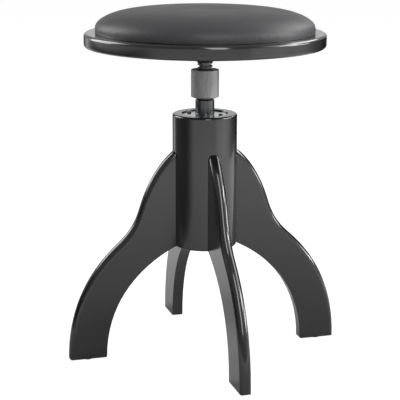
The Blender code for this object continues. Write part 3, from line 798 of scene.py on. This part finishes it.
def modelSeatFlange():
    low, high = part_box("seat_flange")
    plateBottom = high.z - hub["plate"]
    plate = addRod("seatPlate", high.x, plateBottom, high.z)
    editMode(plate)
    pickCap(plate, -1)
    stepCap(high.x - hub["radius"], low.z + hub["chamfer"] - plateBottom)
    stepCap(0, -hub["chamfer"])
    share = hub["footRadius"] / hub["radius"]
    bpy.ops.transform.resize(value=(share, share, 1))
    boreThrough(plate, (hub["footRadius"], high.x), hub["bore"])
    roundRing(plate, hub["radius"], plateBottom, hub["weld"], segments=4)
    roundRing(plate, high.x, plateBottom, hub["edge"])
    roundRing(plate, hub["radius"], low.z + hub["chamfer"], hub["edge"])
    cutCountersinks(plate, seatScrews, plateBottom, -1)
    smoothOff(plate)
    place(plate, "seat", "black_oxide_steel", oxide, "seat_flange")


def modelSpindle():
    # one turn of the thread's outline is drawn, screwed up the axis, cut off level and joined to plain ends
    low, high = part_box("spindle")
    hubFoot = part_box("seat_flange")[0].z
    root = thread["crest"] - thread["depth"]
    pitch = thread["pitch"]
    shoulderTop = hubFoot - thread["underHub"]
    threadTop = shoulderTop - thread["shoulder"]
    rootShare = 1 - thread["crestShare"] - 2 * thread["flankShare"]
    outline = ((thread["crest"], thread["crestShare"]), (root, thread["flankShare"]),
               (root, rootShare), (thread["crest"], thread["flankShare"]))
    objectMode()
    bpy.ops.mesh.primitive_plane_add(size=mm, location=(0, 0, 0))
    spindle = bpy.context.object
    spindle.name = "spindleSteel"
    editMode(spindle, "VERT")
    bpy.ops.mesh.select_all(action="SELECT")
    bpy.ops.mesh.merge(type="CENTER")
    start = thread["bottom"] - pitch
    bpy.ops.transform.translate(value=(thread["crest"], 0, start))
    reach = thread["crest"]
    for radius, share in outline:
        move = (radius - reach, 0, share * pitch)
        bpy.ops.mesh.extrude_region_move(TRANSFORM_OT_translate={"value": move})
        reach = radius
    turns = math.ceil((threadTop - start) / pitch) + 1
    applyModifier(spindle, "SCREW", axis="Z", angle=fullTurn, screw_offset=pitch, iterations=turns,
                  steps=thread["steps"], render_steps=thread["steps"], use_merge_vertices=True,
                  merge_threshold=hair)
    editMode(spindle)
    bpy.ops.mesh.select_all(action="SELECT")
    bpy.ops.mesh.remove_doubles(threshold=2 * hair)
    for level, lower in ((thread["bottom"], True), (threadTop, False)):
        bpy.ops.mesh.select_all(action="SELECT")
        bpy.ops.mesh.bisect(plane_co=(0, 0, level), plane_no=(0, 0, 1), use_fill=True, clear_inner=lower,
                            clear_outer=not lower)
    bpy.ops.mesh.select_all(action="SELECT")
    bpy.ops.mesh.normals_make_consistent(inside=False)
    shoulder = addRod("shoulder", thread["crest"], threadTop - thread["overlap"], shoulderTop, sides=96)
    topEnd = addRod("topEnd", thread["topJournal"], threadTop, high.z, sides=64)
    lowEnd = addRod("lowEnd", thread["lowJournal"], low.z, thread["bottom"] + overrun, sides=64)
    for plain in (shoulder, topEnd, lowEnd):
        applyModifier(spindle, "BOOLEAN", operation="UNION", solver="EXACT", object=plain)
        bpy.data.objects.remove(plain)
    smoothOff(spindle, 40)
    place(spindle, "seat", "black_oxide_steel", oxide, "spindle")


modelNutFlange()
modelNutBush()
modelCollar()
modelWasher()
modelSeatFlange()
modelSpindle()
print("steel parts made")


# Seat board

board = {"edge": 4.5 * mm, "segments": 8, "sides": 224}


def modelBoard():
    low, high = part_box("seat_board")
    wood = addRod("boardWood", high.x, low.z, high.z, board["sides"])
    roundRing(wood, high.x, high.z, board["edge"], board["segments"])
    roundRing(wood, high.x, low.z, board["edge"], board["segments"])
    smoothOff(wood)
    place(wood, "seat", "black_lacquered_wood", boardLacquer, "seat_board")


modelBoard()
print("board made")


# Pad: a crowned disc is stepped up from a cylinder, plumped by a cloth simulation and smoothed

pad = {
    "widest": 9 * mm,           # height of the widest part above the board
    "drawIn": 1.5 * mm,
    "below": 6 * mm,            # how far the simulated shape runs on below the board's top, to be cut off
    "powers": (5.0, 1.44),      # of radius and height in the crown's outline
    "steps": 14,
    "sides": 128,
    "voxel": 4 * mm,
    "pressure": 2.0,
    "stiffness": 60,
    "frames": 20,
    "cap": 5 * mm,
    "slack": 1.0 * mm,          # how much smaller the pad starts than it ends
    "lift": 0.05 * mm,          # how far above the CAD cover's foot the pad is cut off
    "lastStepShares": (0.5, 0.8),       # of what is left of the crown's reach and rise, at its middle
}


def stepCrown(cover, radius, widest, top):
    # narrows the top cap in steps that follow the crown
    radiusPower, heightPower = pad["powers"]
    reach = radius
    level = widest
    for step in range(1, pad["steps"]):
        angle = math.pi / 2 * step / pad["steps"]
        nextReach = radius * math.cos(angle) ** (2 / radiusPower)
        nextLevel = widest + (top - widest) * math.sin(angle) ** (2 / heightPower)
        bpy.ops.mesh.inset(thickness=reach - nextReach, depth=nextLevel - level)
        reach, level = nextReach, nextLevel
    reachShare, riseShare = pad["lastStepShares"]
    bpy.ops.mesh.inset(thickness=reach * reachShare, depth=(top - level) * riseShare)


def plump(cover, foot):
    # swells the pad under pressure with its foot held, and keeps each point within the cap
    rest = [v.co.copy() for v in cover.data.vertices]
    held = cover.vertex_groups.new(name="held")
    held.add([i for i, point in enumerate(rest) if point.z < foot], 1.0, "REPLACE")
    free = cover.vertex_groups.new(name="free")
    free.add([i for i, point in enumerate(rest) if point.z >= foot], 1.0, "REPLACE")
    cloth = cover.modifiers.new("cloth", "CLOTH")
    cloth.settings.use_pressure = True
    cloth.settings.uniform_pressure_force = pad["pressure"]
    cloth.settings.vertex_group_mass = "held"
    cloth.settings.effector_weights.gravity = 0
    cloth.settings.tension_stiffness = pad["stiffness"]
    cloth.settings.compression_stiffness = pad["stiffness"]
    cloth.settings.shear_stiffness = pad["stiffness"]
    cloth.settings.bending_stiffness = pad["stiffness"] / 4
    cloth.settings.quality = 8
    for step in range(1, pad["frames"] + 1):
        bpy.context.scene.frame_set(step)
    choose(cover)
    bpy.ops.object.modifier_apply(modifier="cloth")
    bpy.context.scene.frame_set(1)
    moves = [v.co - start for v, start in zip(cover.data.vertices, rest)]
    for vertex, start, move in zip(cover.data.vertices, rest, moves):
        if move.length > pad["cap"]:
            vertex.co = start + move.normalized() * pad["cap"]
    print("pad swelled by up to", round(max(move.length for move in moves) / mm, 2), "mm")


def modelPad():
    low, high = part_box("seat_cover")
    radius = high.x - pad["slack"]
    widest = low.z + pad["widest"]
    cover = addRod("seatPad", radius, low.z - pad["below"], widest, pad["sides"])
    editMode(cover)
    pickCap(cover, -1)
    share = (radius - pad["drawIn"]) / radius
    bpy.ops.transform.resize(value=(share, share, 1))
    pickCap(cover, 1)
    stepCrown(cover, radius, widest, high.z - pad["slack"])
    applyModifier(cover, "REMESH", mode="VOXEL", voxel_size=pad["voxel"])
    plump(cover, low.z)
    applyModifier(cover, "SMOOTH", factor=0.5, iterations=4, vertex_group="free")
    applyModifier(cover, "SUBSURF", levels=1, render_levels=1)
    editMode(cover)
    bpy.ops.mesh.select_all(action="SELECT")
    bpy.ops.mesh.bisect(plane_co=(0, 0, low.z + pad["lift"]), plane_no=(0, 0, 1), use_fill=True,
                        clear_inner=True)
    smoothOff(cover, 60)
    place(cover, "seat", "black_leatherette", leatherette, "seat_cover", "seat_foam")


modelPad()
print("pad made")


# Glides under the feet

glide = {"disc": 6.5 * mm, "thickness": 1.2 * mm, "edge": 0.5 * mm, "stem": 2 * mm}


def modelGlides():
    for name in leg["names"]:
        low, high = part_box("glide_" + name)
        disc = addRod("glideNylon_" + name, glide["disc"], low.z, low.z + glide["thickness"], sides=48)
        editMode(disc)
        pickCap(disc, 1)
        stepCap(glide["disc"] - glide["stem"], high.z - low.z - glide["thickness"])
        roundRing(disc, glide["disc"], low.z, glide["edge"])
        disc.location = (*centreOf(low, high), 0)
        choose(disc)
        bpy.ops.object.transform_apply(location=True, rotation=True, scale=True)
        smoothOff(disc)
        place(disc, "base", "black_nylon", nylon, "glide_" + name)


modelGlides()
print("glides made")


# CAD nodes that stay as they are

kept = {
    "guide_bush": nylon,
    "stop_washer": zinc,
    "end_screw": zinc,
    "hub_pin": zinc,
    "pad_base": plywood,
}
for name in leg["names"]:
    for number in (1, 2):
        kept[f"dowel_{name}_{number}"] = beech
for name, material in kept.items():
    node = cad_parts[name]
    for materialSlot in node.material_slots:
        materialSlot.material = material
print("CAD nodes dressed:", len(kept))


# Studio: pale floor, white surround, soft lamps and the camera

studio = {
    "floorSize": 60,
    "floorColour": "#f4f4f4",
    "fill": 0.25,               # strength of the surround's own light on the object
    "surroundGloss": 0.1,       # how much of the white surround gloss sees
    "floorWhite": 0.92,         # white added to the floor where it is seen
    "floorPaint": 0.3,          # share of the lit paint, with its shadow, that stays there
    # painted shade in reflections: the white that gloss sees fades out towards the object, darkening the
    # floor's reflection near it on top of its real shadow
    "floorGloss": 0.72,         # how much of that whitening gloss sees, away from the object
    "shadeReach": (0.2, 1.4),   # metres over which it grows to that, so that the shadow shows in gloss
    "lampsFace": (0, 0, 0.3),   # what the lamps are turned to
}
# name: place, width, height, watts
lamps = {
    "leftBox": ((-2.01, 0.89, 1.36), 1.6, 1.9, 39),
    "rightBox": ((1.90, -0.30, 1.62), 1.25, 1.25, 11),
    "rightGlint": ((1.65, -0.21, 1.02), 0.7, 0.22, 8),
    "rightHigh": ((1.62, 1.05, 1.75), 2.0, 0.9, 25),
    "rightStrip": ((2.50, 0.24, 0.60), 1.2, 0.34, 17),
    "frontTop": ((0.26, -1.22, 1.25), 0.42, 1.5, 9),
    "sidePanel": ((1.15, -0.7, 0.5), 0.9, 1.0, 1),
}
# Soft-edged cards that only gloss sees: painted reflections, dark sheets that darken what gloss sees and a
# glowing back sheet that brightens it. name: place, turn in degrees, width, height, strength, brightness
cards = {
    "leftCard": ((-0.66, 0.02, 0.14), 92, 1.8, 0.52, 0.9, 0.003),
    "rightCard": ((0.50, 0.36, 0.36), 90, 1.05, 0.32, 0.85, 0.003),
    "leftGap": ((-0.37, 0.82, 0.22), 25, 0.7, 0.54, 0.9, 0.003),
    "rightGap": ((0.49, 0.75, 0.22), -33, 1.0, 0.54, 0.95, 0.003),
    "backGlowSheet": ((0, 2.4, 0.70), 0, 2.4, 0.9, 1.0, 0.64),
}
viewpoint = {
    "place": (0, -1.8866, 0.6847),
    "turns": (76.47, -0.169, 0.245),        # degrees
    "sensor": 36,               # mm, as the lens
    "lens": 117.42,
}


def seenShare(tree, share, gloss=1.0):
    # a share for rays that see the background: from the camera, in gloss or through glass
    path = addNode(tree, "LightPath")
    glossy = addNode(tree, "Math", {0: path.outputs["Is Glossy Ray"], 1: gloss}, operation="MULTIPLY")
    either = addNode(tree, "Math", {0: path.outputs["Is Camera Ray"], 1: glossy.outputs[0]},
                     operation="MAXIMUM")
    seen = addNode(tree, "Math", {0: either.outputs[0], 1: path.outputs["Is Transmission Ray"]},
                   operation="MAXIMUM")
    return addNode(tree, "Math", {0: seen.outputs[0], 1: share}, operation="MULTIPLY").outputs[0]


def makeFloor():
    objectMode()
    bpy.ops.mesh.primitive_plane_add(size=studio["floorSize"], location=(0, 0, 0))
    floor = bpy.context.object
    floor.name = "floor"
    material = bpy.data.materials.new("paleFloor")
    material.use_nodes = True
    tree = material.node_tree
    tree.nodes.remove(tree.nodes["Principled BSDF"])
    # the white in gloss grows with distance from the object: painted shade round it in reflections, besides
    # the real shadow in the paint
    nearest, farthest = studio["shadeReach"]
    away = addNode(tree, "VectorMath", {0: addNode(tree, "TexCoord").outputs["Object"]}, operation="LENGTH")
    gloss = addNode(tree, "MapRange", {"Value": away.outputs["Value"], "From Min": nearest,
                                       "From Max": farthest, "To Max": studio["floorGloss"]})
    paint = addNode(tree, "BsdfDiffuse", {"Color": linear(studio["floorColour"])})
    dimmed = addNode(tree, "MixShader", {0: seenShare(tree, 1 - studio["floorPaint"], studio["floorGloss"]),
                                         1: paint.outputs[0]})
    white = addNode(tree, "Emission", {"Strength": seenShare(tree, studio["floorWhite"],
                                                           gloss.outputs["Result"])})
    both = addNode(tree, "AddShader", {0: dimmed.outputs[0], 1: white.outputs[0]})
    tree.links.new(both.outputs[0], tree.nodes["Material Output"].inputs["Surface"])
    floor.data.materials.append(material)


def makeSurround():
    world = bpy.data.worlds.new("surround")
    bpy.context.scene.world = world
    world.use_nodes = True
    tree = world.node_tree
    background = tree.nodes["Background"]
    background.inputs["Color"].default_value = (1, 1, 1, 1)
    seen = seenShare(tree, 1 - studio["fill"], studio["surroundGloss"])
    lifted = addNode(tree, "Math", {0: seen, 1: studio["fill"]}, operation="ADD")
    tree.links.new(lifted.outputs[0], background.inputs["Strength"])


def makeLamps():
    target = Vector(studio["lampsFace"])
    for name, (spot, width, height, watts) in lamps.items():
        objectMode()
        bpy.ops.object.light_add(type="AREA", location=spot)
        lamp = bpy.context.object
        lamp.name = name
        lamp.data.shape = "RECTANGLE"
        lamp.data.size = width
        lamp.data.size_y = height
        lamp.data.energy = watts
        lamp.rotation_euler = (Vector(spot) - target).to_track_quat("Z", "Y").to_euler()
        lamp.visible_camera = False


def makeCards():
    for name, (spot, turn, width, height, strength, brightness) in cards.items():
        objectMode()
        bpy.ops.mesh.primitive_plane_add(size=1, location=spot,
                                         rotation=(math.pi / 2, 0, math.radians(turn)))
        card = bpy.context.object
        card.name = name
        card.scale = (width, height, 1)
        material = bpy.data.materials.new(name)
        material.use_nodes = True
        tree = material.node_tree
        tree.nodes.remove(tree.nodes["Principled BSDF"])
        across = addNode(tree, "Mapping", {"Vector": addNode(tree, "TexCoord").outputs["Object"],
                                           "Scale": (2, 0, 0)})
        middle = addNode(tree, "TexGradient", {"Vector": across.outputs[0]}, gradient_type="SPHERICAL")
        soft = addNode(tree, "MapRange", {"Value": middle.outputs["Fac"], "From Max": 0.7,
                                          "To Max": strength},
                       interpolation_type="SMOOTHSTEP")
        # the card's tone is seen only in gloss: a painted reflection, near black or glowing
        tone = addNode(tree, "Emission", {"Strength": brightness})
        clear = addNode(tree, "BsdfTransparent")
        mixed = addNode(tree, "MixShader", {0: soft.outputs["Result"], 1: clear.outputs[0],
                                            2: tone.outputs[0]})
        tree.links.new(mixed.outputs[0], tree.nodes["Material Output"].inputs["Surface"])
        card.data.materials.append(material)
        card.visible_camera = card.visible_diffuse = card.visible_shadow = False
        card.visible_transmission = card.visible_volume_scatter = False


def makeCamera():
    bpy.ops.object.camera_add(location=viewpoint["place"],
                              rotation=[math.radians(turn) for turn in viewpoint["turns"]])
    camera = bpy.context.object
    camera.data.sensor_width = viewpoint["sensor"]
    camera.data.lens = viewpoint["lens"]
    bpy.context.scene.camera = camera


makeFloor()
makeSurround()
makeLamps()
makeCards()
makeCamera()
bpy.context.scene.view_settings.view_transform = "Standard"
objectMode()
print("studio ready")
